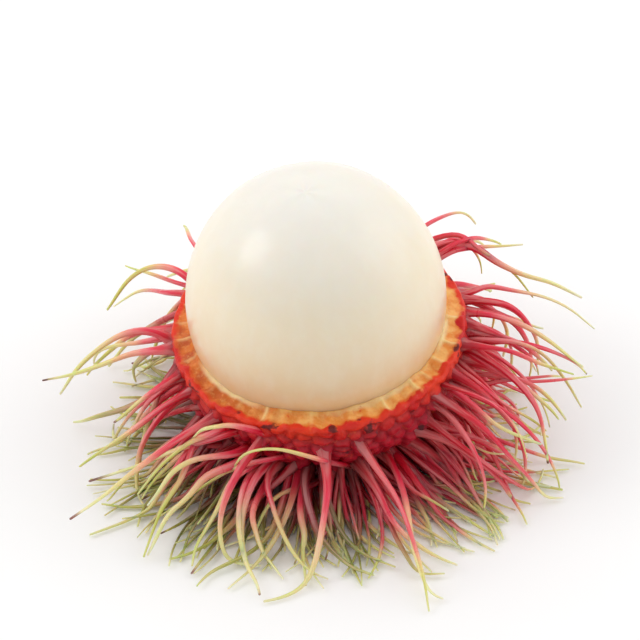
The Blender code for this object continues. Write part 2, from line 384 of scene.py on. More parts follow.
# The dense fan low in front: how far round from the front and how high its roots are, how it
# bends, and what each way has of its heading: the skin's, outwards from a point behind, and up.
FAN_COUNT = 130
FAN_SEED = 47
FAN_TURN = math.radians(66.0)
FAN_ROOTS = (-19.2 * MM, -14.2 * MM)
FAN_LENGTH = (12.0 * MM, 23.0 * MM)
FAN_DROOP = (30.0, 95.0)
FAN_CURL = (5, 60)
FAN_SPREAD = 0.16
FAN_THINNER = 0.92
FAN_FROM_Y = 2 * MM
FAN_ALONG_SKIN_NORMAL = 0.55
FAN_OUTWARDS = 0.7
FAN_LIFT = 0.12

LOOSE_THICKNESS = 0.6 * MM

# Loose hairs that lie across the others: how withered they are, a share that also paints shade,
# how far up they are red, and their points in millimetres.
LOOSE_HAIRS = (
    (0, 0.36, ((-5.8, -14.7, 10.7), (-8.7, -17.7, 14), (-11.3, -18.3, 15.2), (-13.5, -17.7, 14.2),
     (-15.6, -14, 9.1))),
    (0, 0.36, ((4.1, -11.1, 2.8), (1.8, -16.9, 8.1), (-0.5, -19.8, 11.3), (-4.7, -21.4, 13.9),
     (-8.7, -20.3, 12.4), (-9.9, -18.1, 8.7))),
    (0, 0.36, ((-2.6, -11.1, 5), (-5.4, -16.7, 8.5), (-8.7, -17.5, 8), (-12.2, -17.4, 6.2),
     (-16.5, -17.7, 3.2), (-19.2, -18.9, 1.5))),
    (0, 0.36, ((0.6, -12, 1.6), (-1.4, -15.6, 3.1), (-4.4, -18.2, 4.5), (-6.5, -20.8, 3.6),
     (-7.8, -22.2, 1.4))),
    (0, 0.36, ((8.2, -10.2, 4.3), (9.3, -14.8, 5.3), (10.3, -19, 4.6), (11, -23.6, 3.5),
     (11.8, -27.6, 2.2), (13.2, -31.8, 0.9), (14.8, -33.2, 0.6))),
    (0, 0.36, ((-9, -12.4, 9.7), (-12.2, -14.9, 10.4), (-15.4, -14.3, 8.7), (-18.8, -13.2, 6.3),
     (-22.5, -13.1, 4.2), (-28, -13.8, 2.6))),
    (0, 0.36, ((-10.8, -9.9, 5.2), (-13.5, -11.3, 6), (-16.3, -12.1, 5.6), (-18.8, -13.2, 4.1),
     (-20.4, -14, 2.5), (-21.5, -15.2, 0.8))),
    (0, 0.42, ((11.2, 13.5, 15.4), (18.2, 15.8, 16.6), (21.8, 12.6, 16.4), (25.5, 10.6, 15.6),
     (29.3, 10.7, 14.2), (32.9, 10.4, 12.2))),
    (0, 0.5, ((9.6, 14.7, 15.6), (17, 17.7, 17), (20.2, 13.8, 16.8), (23.9, 11.3, 15.6),
     (26.8, 9.4, 13.4))),
    (0, 0.5, ((16.3, 6.7, 15.2), (19, 6.8, 15.9), (20.9, 7.6, 16), (24.2, 7.3, 15.4),
     (28, 7.7, 14.2), (31.8, 8.2, 12.2), (34.4, 7.1, 10.2))),
    (0, 0.4, ((17.2, 3.7, 14.9), (19.5, 3, 15.4), (22, 2.5, 15.3), (25.7, 2, 14.2), (29, 1.4, 12),
     (31.5, 0.9, 9.8), (32.8, 0.7, 8.8))),
    (0.15, 0.35, ((17.5, -0.1, 14.2), (20.2, -1.1, 14.6), (23.5, -1.1, 14), (27.3, -1.1, 12.4),
     (29.8, -1.1, 9.8), (31.5, -1.8, 7.2), (32.6, -2.7, 5.4))),
    (0, 0.62, ((17.3, -1.5, 13.8), (18.2, -3.3, 14.2), (21.8, -5.1, 13), (25.5, -5.9, 11),
     (28, -6.4, 8.8), (29.2, -7.5, 7.2))),
    (0, 0.6, ((16.6, -4.8, 13.2), (18.9, -7.6, 13.4), (22.1, -9.4, 11.8), (25.4, -9.7, 9.4),
     (27.5, -10.1, 7.6))),
    (0, 0.6, ((15.5, -7.5, 12.8), (15.6, -8.6, 13.2), (18.8, -11.2, 12.2), (22, -12.8, 10.4),
     (27, -12.6, 7.6))),
    (0, 0.5, ((-16.8, -5.3, 12.6), (-19.6, -7.5, 12), (-22.2, -8.7, 10.4), (-24.9, -9.4, 8.4))),
    (0, 0.3, ((-10.9, -12.9, 10.6), (-12.8, -14.8, 10.8), (-15.7, -15.2, 9.8),
     (-19.1, -16.3, 7.4), (-21.6, -18.6, 4.6))),
    (0, 0.4, ((-12.3, -10.7, 9.4), (-14.9, -14.5, 9.2), (-16.9, -18.3, 6.4), (-19, -21, 3.8),
     (-20.7, -26, 1.2))),
    (0, 0.36, ((-14.5, 9.5, 13.5), (-17, 12, 15), (-20.5, 13.5, 14.6), (-24, 13.5, 12.2),
     (-26.5, 12.5, 9))),
    (0, 0.36, ((-17.8, 1, 12.5), (-21, 1.5, 14), (-25.5, 1, 13), (-29.5, 0, 9.5), (-32, -1, 6))),
    (0.15, 0.3, ((-4.2, -11.8, 4.5), (-6.4, -17.9, 6.6), (-5.5, -21.3, 5.2), (-5.1, -22.8, 4.2),
     (-3.9, -25.2, 2.9), (-2.2, -27.3, 1.6), (-0.6, -28.7, 0.9), (1.1, -29.4, 0.6))),
    (0.9, 0.4, ((-1.2, -12.4, 4.5), (-1.7, -18.5, 6), (-0.6, -22.7, 3.6), (0.5, -24.6, 2.4),
     (2.1, -26.3, 1.4), (4.2, -28, 0.8), (6.6, -28.8, 0.5))),
    (1.0, 0.3, ((0.4, -12.4, 4.5), (0.7, -18.5, 6), (1.8, -21.3, 4.2), (2.6, -23.6, 3),
     (4.2, -25.6, 1.9), (6.1, -26.6, 1.3), (7.6, -26.4, 1))),
    (0, 0.25, ((-5.6, -11.2, 4.5), (-8.6, -17.4, 7.5), (-10.6, -18.8, 6.6), (-12.2, -21.1, 4.2),
     (-13.8, -23.3, 2.4), (-14.7, -25.5, 1.4), (-15.2, -27.4, 0.8))),
    (0, 0.3, ((-4.8, -11.6, 4.5), (-7.3, -17.8, 7.2), (-8.6, -20.9, 5.6), (-9.3, -24.5, 3.4),
     (-8.6, -27.8, 1.7), (-7.7, -30.3, 1), (-7.1, -32.5, 0.6))),
    (0.1, 0.2, ((-4.4, -11.7, 4.5), (-7.8, -21.3, 5.2), (-7.4, -23.9, 3.2), (-6.7, -26, 1.9),
     (-5.6, -27.5, 1.1), (-4.3, -29.4, 0.6))),
    (0, 0.3, ((-5.3, -11.3, 4.5), (-8.6, -18.4, 7), (-9.4, -22, 4.8), (-9.6, -24.7, 3.2),
     (-9, -26.8, 1.9), (-8.3, -28.5, 1.2))),
    (0.45, 0.15, ((-2, -12.3, 4.5), (-3.3, -20.6, 4.6), (-4.9, -23.9, 2.9), (-6.5, -26.2, 1.7),
     (-8.6, -28.9, 0.9), (-10.6, -31.5, 0.6))),
    (0.5, 0.15, ((-2.9, -12.1, 4.5), (-4.9, -21.4, 3.2), (-6.7, -24.1, 2), (-8.6, -26.2, 1.3),
     (-12.3, -28, 0.8), (-14.4, -30.9, 0.6))),
    (0.3, 0.3, ((-1.4, -12.4, 4.5), (-2.2, -20.6, 4.6), (-1.7, -24, 2.6), (-1.8, -26.7, 1.4),
     (-1.5, -30.4, 0.6))),
    (0.1, 0.45, ((4.1, -11.6, 4.5), (6.9, -18.9, 6), (8.5, -22, 4.4), (10.1, -24.4, 3.3),
     (12.7, -26, 2.2), (14.9, -26.9, 1.4), (16.5, -27.4, 1))),
    (0.6, 0.4, ((4.2, -11.6, 4.5), (7.5, -19.7, 4.6), (9, -24, 2.6), (10.6, -26.7, 1.4),
     (12.5, -28.5, 0.8), (15.1, -28.6, 0.6))),
    (0.1, 0.25, ((-7.3, -12.8, 7), (-9.7, -17.1, 8), (-13.4, -18.9, 7.4), (-15.6, -20.6, 6),
     (-18.2, -22, 4.4), (-19.6, -23.8, 2.4), (-20.4, -25.8, 1))),
    (0, 0.3, ((-7.9, -12.5, 7), (-10.3, -16.2, 9), (-14.5, -16.8, 8.8), (-17, -17.9, 7.6),
     (-19.1, -19.5, 5.8), (-20.7, -20.3, 4.4))),
)


def front_fan():
    """The dense fan of hairs low in front, as (points, thickness, normal)."""
    draw = random.Random(FAN_SEED)
    found = []
    for _ in range(FAN_COUNT):
        around = -math.pi / 2 + draw.uniform(-FAN_TURN, FAN_TURN)
        root, normal = skin_place(around, draw.uniform(*FAN_ROOTS))
        outward = Vector((root.x, root.y - FAN_FROM_Y, 0)).normalized()
        heading = FAN_ALONG_SKIN_NORMAL * normal + FAN_OUTWARDS * outward
        heading = heading + random_vector(draw, FAN_SPREAD) + Vector((0, 0, FAN_LIFT))
        heading.normalize()
        curl_axis = heading.cross(random_vector(draw)).normalized()
        curl = draw.uniform(*FAN_CURL)
        thickness = draw.uniform(*HAIR_THICKNESS)
        length = draw.uniform(*FAN_LENGTH)
        droop = draw.uniform(*FAN_DROOP)
        path = hair_path(root, heading, length, curl_axis, curl, droop, thickness)
        found.append((path, FAN_THINNER * thickness, normal))
    return found


def along_points(points):
    """HAIR_STEPS + 1 points of a Catmull-Rom curve through the given ones."""
    spots = np.array(points) * MM
    spots = np.vstack([2 * spots[0] - spots[1], spots, 2 * spots[-1] - spots[-2]])
    found = []
    for place in np.linspace(0, len(points) - 1, HAIR_STEPS + 1):
        k = min(int(place), len(points) - 2)
        t = place - k
        a, b, c, d = spots[k : k + 4]
        curve = 2 * b + (c - a) * t + (2 * a - 5 * b + 4 * c - d) * t**2
        curve = curve + (3 * b - a - 3 * c + d) * t**3
        found.append(Vector(curve / 2))
    return found


def grown_hairs():
    """Every hair to draw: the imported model's own, the fan, the finer ones and, last, the loose
    ones. The finer ones keep only the spiral's first hair in the bare patch."""
    grown = hairs() + front_fan()
    draw = random.Random(FINER_SEED)
    for seed, phase, length, thinner, spread, share, highest in FINER_HAIRS:
        for path, thickness, normal in hairs(seed, phase, length, HAIR_COUNT, spread):
            wanted = share * (LEFT_SHARE if path[0].x < LEFT_OF else 1.0)
            if path[0].z < highest and draw.random() < wanted:
                grown.append((path, thinner * thickness, normal))
    for _, _, points in LOOSE_HAIRS:
        path = along_points(points)
        outward = (path[0] - PLACEMENT.translation).normalized()
        grown.append((path, LOOSE_THICKNESS, outward))
    return grown


# ---------------- hairs: how they are drawn

HAIRS_SEED = 5
HAIR_SIDES = 6
HAIR_FOOT_SUNK = 0.7 * MM
RELAX_ROUNDS = 3

# A slow and a quick sideways wave, in radians along the hair, that grow from the foot. The floor
# under a wavering hair is this high at its foot, and lower by a share of that at its tip.
HAIR_WAVER = 0.3 * MM
WAVER_GROWTH = 3
SLOW_WAVE = 7
QUICK_WAVE = 15
QUICK_SHARE = 0.25
WAVER_FLOOR = 0.75 * MM
WAVER_FLOOR_DROP = 0.45

# Thickness against hair_radius: overall, at the tip, at the base, and swelling along the hair.
DRAWN_THICKNESS = 0.76
TIP_TAPER = 0.34
BASE_FLARE = 0.25
SWELL = 0.08
SWELL_WAVE = 11
FLATNESS = (0.6, 0.85)

# The rounded tip, in radii at the hair's end: where the last ring and the tip stand, and how wide
# that ring is. Their places along the hair go just past 1.
TIP_RING_REACH = 0.55
TIP_RING_WIDTH = 0.7
TIP_REACH = 0.9
TIP_RING_AT = 1.01
TIP_AT = 1.03

# How far up a hair is red, more at the right, and how withered it is, with painted shade in that
# share: more at low roots, and at the left.
RED_UNTIL = 0.54
RED_MORE_RIGHT = 0.18
RED_TURNS_OVER = 8 * MM
RED_VARIES = 0.14
ALL_WITHERED_AND_SHADED_BELOW = 3 * MM
WITHERED_AND_SHADED_OVER = 7 * MM
WITHERED_AND_SHADED_VARIES = (-0.9, 0.2)
WITHERED_AND_SHADED_MORE_LEFT = 0.45
WITHERED_AND_SHADED_TURNS_OVER = 6 * MM
RED_ENDS_AT = 0.5

# The bake map has a grid of upright cells, one a hair. Each cell's margin and inside are shares.
ATLAS_COLUMNS = 64
CELL_ACROSS = (0.1, 0.8)
CELL_UP = (0.04, 0.88)


def tube_rings(path, radii, flatness, first_side):
    """Rings of points round a path, carried along it without twisting."""
    points = np.array([tuple(p) for p in path])
    ahead = np.gradient(points, axis=0)
    ahead /= np.linalg.norm(ahead, axis=1)[:, None]
    side = first_side - ahead[0] * (first_side @ ahead[0])
    rings = []
    angles = 2 * np.pi * np.arange(HAIR_SIDES) / HAIR_SIDES
    for place, forward, radius in zip(points, ahead, radii):
        side = side - forward * (side @ forward)
        side /= np.linalg.norm(side)
        over = np.cross(forward, side)
        offsets = np.outer(np.cos(angles), side) + flatness * np.outer(np.sin(angles), over)
        rings.append(place + radius * offsets)
    return rings, points, ahead


def relaxed(path):
    """The path with the kinks eased out that sliding over the skin or the floor left."""
    points = [p.copy() for p in path]
    for _ in range(RELAX_ROUNDS):
        inside = range(1, len(points) - 1)
        points[1:-1] = [(points[i - 1] + points[i] * 2 + points[i + 1]) / 4 for i in inside]
    return points


def wavering(path, draw):
    """The path with a hair's small unevenness: sideways waves that grow from the foot."""
    axes = [random_vector(draw).normalized() for _ in range(2)]
    phases = [draw.uniform(0, 2 * math.pi) for _ in range(2)]
    waved = []
    for i, point in enumerate(path):
        share = i / (len(path) - 1)
        size = HAIR_WAVER * min(1.0, share * WAVER_GROWTH)
        moved = point + axes[0] * size * math.sin(SLOW_WAVE * share + phases[0])
        moved = moved + axes[1] * size * QUICK_SHARE * math.sin(QUICK_WAVE * share + phases[1])
        moved.z = max(moved.z, WAVER_FLOOR * (1 - WAVER_FLOOR_DROP * share))
        waved.append(moved)
    return waved


def drawn_radius(share, thickness, phase):
    drawn = DRAWN_THICKNESS * (1 - TIP_TAPER * share**3)
    drawn *= 1 + SWELL * math.sin(SWELL_WAVE * share + phase)
    drawn *= 1 + BASE_FLARE * (1 - share) ** 3
    return drawn * hair_radius(share, thickness)


def red_and_withered_shade(root, draw):
    """How far up a hair is red, and how withered it is, a share that also paints shade, by where it
    grows.
    """
    red_until = RED_UNTIL + RED_MORE_RIGHT * math.tanh(root.x / RED_TURNS_OVER)
    red_until += draw.uniform(-RED_VARIES, RED_VARIES)
    withered_and_shaded = 1.0 - (root.z - ALL_WITHERED_AND_SHADED_BELOW) / WITHERED_AND_SHADED_OVER + draw.uniform(*WITHERED_AND_SHADED_VARIES)
    withered_and_shaded -= WITHERED_AND_SHADED_MORE_LEFT * math.tanh(root.x / WITHERED_AND_SHADED_TURNS_OVER)
    return red_until, min(1.0, max(0.0, withered_and_shaded))


def colour_at(share, red_until):
    """The place in the colour run of a point so far along a hair: its red part ends at one place
    in the run, wherever it ends on the hair."""
    share = min(share, 1.0)
    if share < red_until:
        return RED_ENDS_AT * share / red_until
    return RED_ENDS_AT + (1 - RED_ENDS_AT) * (share - red_until) / (1 - red_until)


def make_hairs():
    """All the hairs as one piece. HairMap holds the place in the colour run and the hair's own
    number, HairSide how far round the hair a point is and how far along, and olive how withered
    the hair is and how much painted shade it has."""
    draw = random.Random(HAIRS_SEED)
    vertices, faces, colour_place, around, atlas, olive = [], [], [], [], [], []
    grown = grown_hairs()
    rows = math.ceil(len(grown) / ATLAS_COLUMNS)
    first_loose = len(grown) - len(LOOSE_HAIRS)
    for index, (path, thickness, normal) in enumerate(grown):
        path = wavering(relaxed(path), draw)
        root = path[0]
        path = [root - normal * HAIR_FOOT_SUNK] + path
        shares = [0.0] + [i / HAIR_STEPS for i in range(HAIR_STEPS + 1)]
        phase = draw.uniform(0, 2 * math.pi)
        radii = [drawn_radius(share, thickness, phase) for share in shares]
        flatness = draw.uniform(*FLATNESS)
        first_side = np.array([draw.gauss(0, 1) for _ in range(3)])
        rings, points, ahead = tube_rings(path, radii, flatness, first_side)
        end, reach = points[-1], ahead[-1] * radii[-1]
        rings.append(end + reach * TIP_RING_REACH + (rings[-1] - end) * TIP_RING_WIDTH)
        shares.append(TIP_RING_AT)
        number = draw.random()
        red_until, withered_and_shaded = red_and_withered_shade(root, draw)
        if index >= first_loose:
            withered_and_shaded, red_until, _ = LOOSE_HAIRS[index - first_loose]
        base = len(vertices)
        for ring in rings:
            ring[:, 2] = np.maximum(ring[:, 2], LOWEST_POINT)
            vertices.extend(ring.tolist())
        vertices.append((end + reach * TIP_REACH).tolist())
        olive.extend([withered_and_shaded] * (len(vertices) - base))
        row, column = divmod(index, ATLAS_COLUMNS)

        def add_corners(corners):
            for side, share in corners:
                colour_place.append((colour_at(share, red_until), number))
                around.append((side / HAIR_SIDES, share))
                across = column + CELL_ACROSS[0] + CELL_ACROSS[1] * side / HAIR_SIDES
                up = row + CELL_UP[0] + CELL_UP[1] * share
                atlas.append((across / ATLAS_COLUMNS, up / rows))

        last = len(rings) - 1
        for k in range(last):
            low, high = shares[k], shares[k + 1]
            a, b = base + k * HAIR_SIDES, base + (k + 1) * HAIR_SIDES
            for j in range(HAIR_SIDES):
                j2 = (j + 1) % HAIR_SIDES
                faces.append((a + j, a + j2, b + j2, b + j))
                add_corners([(j, low), (j + 1, low), (j + 1, high), (j, high)])
        top = base + last * HAIR_SIDES
        for j in range(HAIR_SIDES):
            faces.append((top + j, top + (j + 1) % HAIR_SIDES, top + HAIR_SIDES))
            add_corners([(j, TIP_RING_AT), (j + 1, TIP_RING_AT), (j + 0.5, TIP_AT)])
    obj = mesh_object("hairs", vertices, faces)
    set_uv(obj.data, "HairMap", colour_place)
    set_uv(obj.data, "HairSide", around)
    set_uv(obj.data, "OFBake", atlas)
    set_shares(obj.data, "olive", olive)
    return obj


# The colours along a hair, as (place, sRGB colour).
YOUNG_HAIR = (
    (0.0, (160, 4, 24)),
    (0.14, (212, 12, 44)),
    (0.36, (232, 50, 82)),
    (0.48, (240, 108, 112)),
    (0.57, (246, 176, 142)),
    (0.68, (238, 220, 148)),
    (0.86, (244, 240, 166)),
    (1.0, (252, 250, 206)),
)
# Withered hairs' colours, dark at the root: partly their own withered olive, partly painted shade.
WITHERED_AND_SHADED_HAIR = (
    (0.0, (84, 10, 26)),
    (0.36, (128, 30, 42)),
    (0.54, (116, 84, 46)),
    (0.74, (98, 114, 42)),
    (0.9, (168, 176, 84)),
    (1.0, (222, 226, 150)),
)
GREENER_HAIR = linear(184, 200, 78)
BROWN_TIP = linear(74, 44, 26)
# The pinkish white of the painted highlight streaks along the hairs.
HIGHLIGHT_STREAK_COLOUR = (1.0, 0.64, 0.6)


def hair_material():
    s = Shader("hair")
    place, number, _ = s.parts(s.uv("HairMap"))
    side, along, _ = s.parts(s.uv("HairSide"))
    olive = s.share("olive")
    own = s.times(number, 90.0)
    blotch = s.noise(s.join(s.times(place, 6.0), own, 0.0), scale=1.0, detail=4)
    shifted = s.math("ADD", place, s.around_zero(blotch, 0.2))
    young, withered_and_shaded = s.ramp(shifted, YOUNG_HAIR), s.ramp(shifted, WITHERED_AND_SHADED_HAIR)

    # Some young hairs are greener towards their tips, and some tips are brown.
    hue = s.noise(s.join(s.times(number, 300.0), 0.0, 0.0), scale=1.0, detail=0)
    greener = s.times(s.remap(hue, 0.42, 0.6), s.remap(place, 0.5, 0.85))
    fresh = s.mix(s.times(greener, 0.8), young, GREENER_HAIR)
    # The olive share mixes in the withered colours, which are partly painted shade.
    aged_and_shaded = s.mix(olive, fresh, withered_and_shaded)
    dark = s.noise(s.join(s.times(number, 571.0), 0.0, 0.0), scale=1.0, detail=0)
    dark_tip = s.times(s.remap(dark, 0.6, 0.66), s.remap(shifted, 0.93, 0.99))
    browned = s.mix(dark_tip, aged_and_shaded, BROWN_TIP)

    # Painted pinkish highlight streaks, and fine ribs as a bump, run along each hair.
    highlight_streak_at = s.join(s.times(side, 5.0), s.times(along, 3.0), own)
    highlight_streak = s.remap(s.noise(highlight_streak_at, scale=1.0, detail=2), 0.42, 0.62)
    highlight_streaked = s.mix(s.times(highlight_streak, 0.6), browned, s.mix(0.42, browned, HIGHLIGHT_STREAK_COLOUR))
    s.set(
        Base_Color=highlight_streaked,
        Roughness=s.remap(blotch, 0.3, 0.7, 0.26, 0.42),
        Subsurface_Weight=0.5,
        Subsurface_Radius=Vector((1.0, 0.45, 0.35)),
        Subsurface_Scale=1.0 * MM,
        Specular_IOR_Level=0.5,
    )
    ribs_at = s.join(s.times(side, 9.0), s.times(along, 3.0), own)
    s.set(Normal=s.bump(s.noise(ribs_at, scale=1.0, detail=2), 0.25 * MM, 0.5))
    return s.material


# ---------------- rind

# Rings of the mesh: under the ball, over the torn edge and down the skin.
SKIN_TURNS = 600
LINING_RINGS = 6
RIM_RINGS = 26
SKIN_RINGS = 104

# The section. The lining reaches so far below the rim, and the skin starts so far below it. From
# the lining's top the torn edge goes through these points, out and up in millimetres, and then
# through one that is measured from the skin's start.
LINING_DEPTH = 4 * MM
SKIN_TOP_DROP = 1.0 * MM
SKIN_DOWN_TO = 0.99999
BALL_GAP = -0.12 * MM
EDGE_STEPS = ((0.1, 0.05), (0.34, -0.02), (0.52, -0.26), (0.9, -0.34), (1.5, -0.5))
EDGE_BEFORE_SKIN = (-0.2, 0.55)

# The torn edge: pale ribs across it, scallops between them, and an uneven height. A pair says
# where on the way over the edge, from the lining's top (0) to the skin (1), something changes.
RIB_SEED = 8
RIB_COUNT = 27
RIB_TRIES = 400
RIB_LEAST_GAP = 0.12
RIB_JITTER = 0.015
RIB_FEET_DEPTH = 2.6 * MM
RIB_WIDTH = 0.26 * MM
RIB_FOOT_WIDTH = 0.9 * MM
RIB_HEIGHT = 0.22 * MM
RIB_WEAKEST = -0.15
RIB_STRONGER = 1.3
RIB_STRENGTH_TURNS = 37.0
BETWEEN_RIBS_DEPTH = 0.16 * MM
SCALLOP_UNEVEN = 0.3
SCALLOP_BETWEEN_RIBS = 0.7
EDGE_UNEVEN = 0.1 * MM
EDGE_STARTS = (0.0, 0.2)
EDGE_ENDS = (0.75, 1.15)
LIP_UNEVEN = 0.1 * MM
LIP_REACH = (0.0, 0.25)

# The skin: pebbles with creases between, a raised foot round every hair, and a slow bulge.
SKIN_STARTS = (0.8, 1.35)
PEBBLE_SEED = 3
PEBBLE_COUNT = 560
PEBBLE_HEIGHT = 0.5 * MM
PEBBLE_LEVEL = 0.35
PEBBLE_SHIFT = 0.5 * MM
PEBBLE_JITTER = 0.06
PEBBLE_TOP_DROP = 0.8 * MM
PEBBLE_FROM_FOOT = 1.2 * MM
PEBBLES_DOWN_TO = 0.999
CREASE_WIDTH = 0.95 * MM
FOOT_HEIGHT = 0.8 * MM
FOOT_WIDTH = 0.95 * MM
BULGE = 0.7 * MM
BULGE_TOP = (-5 * MM, -11 * MM)
BULGE_BOTTOM = (-20 * MM, -16 * MM)

# The torn border of orange edge and red skin, the pale lip, and where the ribs fade out.
BORDER_AT = 0.66
BORDER_TORN = 0.06
BORDER_SOFTNESS = 0.2
LIP_ENDS = (0.1, 0.26)
LIP_PALENESS = 0.35
LIP_PALENESS_VARIES = 0.6
LIP_SIDES = (0.15, 0.6)
RIBS_END = (0.9, 1.6)

FAR = 1e9


def rim_wave(turn):
    """How far the torn rim stands above or below its mean height, from -1 to 1."""
    return 0.55 * np.cos(2 * turn) + 0.25 * np.sin(7 * turn + 2.1) + 0.2 * np.sin(13 * turn)


def uneven(turn, seed, waves, lowest):
    """A smooth random curve round the fruit, mean 0 and spread about 1."""
    draw = np.random.default_rng(seed)
    total = np.zeros_like(turn)
    for n in range(lowest, lowest + waves):
        total += draw.normal() * np.sin(n * turn + draw.uniform(0, 6.28))
    return total / math.sqrt(waves / 2)


def ellipsoid_points(radius, half_length, low, high, count):
    angles = np.linspace(math.asin(low / half_length), math.asin(high / half_length), count)
    return np.stack([radius * np.cos(angles), half_length * np.sin(angles)], 1)


def rind_outline():
    """The rind's section: up the lining, over the torn edge, and down the outer side to the base
    pole."""
    rim = -RIM_BELOW_MIDDLE
    inside = FLESH_RADIUS + BALL_GAP
    lining = ellipsoid_points(inside, FLESH_HALF_LENGTH, rim - LINING_DEPTH, rim, LINING_RINGS)
    skin_top, skin_end = rim - SKIN_TOP_DROP, -SKIN_DOWN_TO * OUTER_HALF_LENGTH
    outer = ellipsoid_points(OUTER_RADIUS, OUTER_HALF_LENGTH, skin_top, skin_end, SKIN_RINGS)
    start, end = lining[-1], outer[0]
    steps_out = np.array(EDGE_STEPS) * MM
    knots = np.array([start, *(start + steps_out), end + np.array(EDGE_BEFORE_SKIN) * MM, end])
    at = np.concatenate([[0], np.cumsum(np.linalg.norm(np.diff(knots, axis=0), axis=1))])
    share = np.linspace(0, at[-1], RIM_RINGS + 2)[1:-1]
    edge = np.stack([np.interp(share, at, knots[:, 0]), np.interp(share, at, knots[:, 1])], 1)
    edge[1:-1] = (edge[:-2] + 2 * edge[1:-1] + edge[2:]) / 4
    return np.concatenate([lining, edge, outer])


def ball_radius_at(height):
    return FLESH_RADIUS * np.sqrt(np.clip(1 - (height / FLESH_HALF_LENGTH) ** 2, 0, 1))


def spiral_points(count, lowest, highest):
    """Evenly strewn points on the skin, in the fruit's frame."""
    places = []
    draw = random.Random(PEBBLE_SEED)
    for i in range(count):
        height = highest + (lowest - highest) * (i + 0.5) / count
        height += draw.uniform(-PEBBLE_SHIFT, PEBBLE_SHIFT)
        height = max(min(height, highest), PEBBLES_DOWN_TO * lowest)
        radius = outer_radius_at(height)
        turn = i * GOLDEN_ANGLE + draw.uniform(-PEBBLE_JITTER, PEBBLE_JITTER)
        places.append((radius * math.cos(turn), radius * math.sin(turn), height))
    return np.array(places)


def nearest_two(points, centres):
    """For every point, how far the nearest and the second nearest of the centres are."""
    first = np.full(len(points), FAR)
    second = np.full(len(points), FAR)
    for centre in centres:
        away = np.linalg.norm(points - centre, axis=1)
        second = np.minimum(second, np.maximum(first, away))
        first = np.minimum(first, away)
    return first, second


def turned_apart(turns, other):
    """The angle between them, the short way round."""
    return np.abs((turns - other + np.pi) % (2 * np.pi) - np.pi)


def rib_pattern(turns, feet):
    """How much of a pale rib there is at each turn, and how much of the hollow between two ribs.
    Every other one of the highest feet has a rib, and more ribs fill the gaps."""
    draw = np.random.default_rng(RIB_SEED)
    high_feet = feet[feet[:, 2] > -RIM_BELOW_MIDDLE - RIB_FEET_DEPTH][::2]
    jitter = draw.normal(0, RIB_JITTER, len(high_feet))
    ribs = list(np.arctan2(high_feet[:, 1], high_feet[:, 0]) + jitter)
    for candidate in draw.uniform(-np.pi, np.pi, RIB_TRIES):
        nearest = turned_apart(np.array(ribs), candidate).min()
        if len(ribs) < RIB_COUNT and nearest > RIB_LEAST_GAP:
            ribs.append(candidate)
    gap = np.full(SKIN_TURNS, FAR)
    strength = np.ones(SKIN_TURNS)
    for rib in ribs:
        away = turned_apart(turns, rib)
        own = RIB_WEAKEST + RIB_STRONGER * abs(math.sin(rib * RIB_STRENGTH_TURNS))
        strength[away < gap] = min(1.0, max(0.0, own))
        gap = np.minimum(gap, away)
    rib = strength * np.exp(-((gap * OUTER_RADIUS / RIB_WIDTH) ** 2))
    between = 1 - np.exp(-((gap * OUTER_RADIUS / RIB_FOOT_WIDTH) ** 2))
    return rib, between


def rind_points(outline, turns, over_edge, rib, between):
    """The outline turned about the fruit's axis, with its rim waved, scalloped and torn."""
    radius = np.repeat(outline[:, 0][:, None], SKIN_TURNS, 1)
    height = np.repeat(outline[:, 1][:, None], SKIN_TURNS, 1)
    turn = np.repeat(turns[None, :], len(outline), 0)
    outside = np.clip(over_edge, 0, 1)
    near_rim = np.clip(1 - (RIM_STEADY_ABOVE - RIM_BELOW_MIDDLE - height) / RIM_DEPTH, 0, 1)
    scallop = SCALLOP_UNEVEN * uneven(turn, seed=4, waves=30, lowest=8)
    scallop = scallop + SCALLOP_BETWEEN_RIBS * (between[None, :] - 0.5)
    radius = radius + RIM_SCALLOP * scallop * near_rim * outside
    raised = height + RIM_WAVE * rim_wave(turn) * near_rim
    on_lip = 1 - smoothstep(*LIP_REACH, np.abs(over_edge))
    raised = raised + LIP_UNEVEN * uneven(turn, seed=21, waves=40, lowest=7) * on_lip
    along_ball = ball_radius_at(raised) - ball_radius_at(height)
    radius = radius + along_ball * (1 - outside) * near_rim
    on_edge = smoothstep(*EDGE_STARTS, over_edge) * (1 - smoothstep(*EDGE_ENDS, over_edge))
    raised = raised + (RIB_HEIGHT * rib - BETWEEN_RIBS_DEPTH * between)[None, :] * on_edge
    raised = raised + EDGE_UNEVEN * uneven(turn, seed=6, waves=50, lowest=12) * on_edge
    return np.stack([radius * np.cos(turn), radius * np.sin(turn), raised], 2).reshape(-1, 3)


def skin_relief(points, feet, on_skin):
    """For every point, how far it lifts, and how much of a foot and of a crease it is."""
    lowest, highest = -OUTER_HALF_LENGTH, -RIM_BELOW_MIDDLE - PEBBLE_TOP_DROP
    pebbles = spiral_points(PEBBLE_COUNT, lowest, highest)
    clear = [p for p in pebbles if np.linalg.norm(feet - p, axis=1).min() > PEBBLE_FROM_FOOT]
    first, second = nearest_two(points, np.array(clear + list(feet)))
    crease = 1 - smoothstep(0.0, CREASE_WIDTH, second - first)
    to_foot, _ = nearest_two(points, feet)
    foot = np.exp(-((to_foot / FOOT_WIDTH) ** 2))
    lift = (FOOT_HEIGHT * foot + PEBBLE_HEIGHT * (PEBBLE_LEVEL - crease)) * on_skin
    height = points[:, 2]
    lift += BULGE * smoothstep(*BULGE_TOP, height) * smoothstep(*BULGE_BOTTOM, height)
    return lift, foot * on_skin, crease * on_skin


